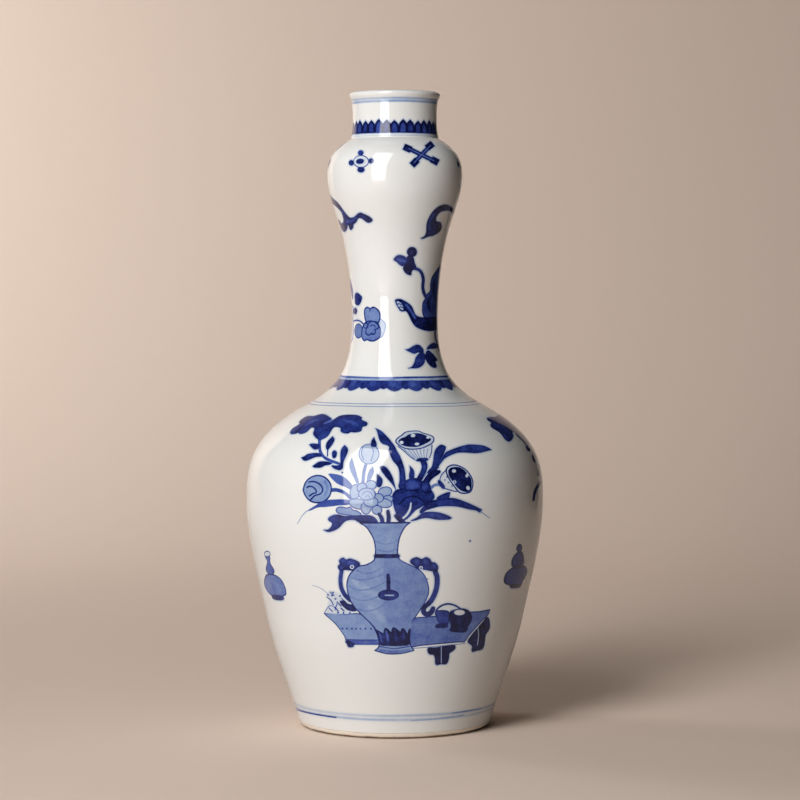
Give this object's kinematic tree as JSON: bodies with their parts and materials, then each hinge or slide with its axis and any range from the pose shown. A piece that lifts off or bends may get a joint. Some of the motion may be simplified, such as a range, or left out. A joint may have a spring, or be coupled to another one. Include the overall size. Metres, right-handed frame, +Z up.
{
  "type": "garlic-mouth vase",
  "caption": "Tall porcelain vase with a round shoulder, waisted neck, garlic-shaped bulb and short collar, luted from thrown sections and painted in underglaze blue; holds stems.",
  "frame": {"origin": "centre of the foot ring on the surface that the vase stands on", "axes": "+Z up along the vase's axis, out of the mouth; -Y towards the pictured side"},
  "size_m": [0.17, 0.17, 0.3615],
  "materials": {
    "painted_porcelain": "glossy clear glaze over cobalt-blue brush painting, unglazed foot rim",
    "slip": "wiped porcelain slip, fired with the body"
  },
  "bodies": {
    "root": {"lower_body": "painted_porcelain", "belly_slip_seam": "slip", "shoulder": "painted_porcelain", "neck_slip_seam": "slip", "neck": "painted_porcelain", "bulb_slip_seam": "slip", "garlic_bulb": "painted_porcelain", "collar_slip_seam": "slip", "mouth_collar": "painted_porcelain"}
  },
  "joints": []
}
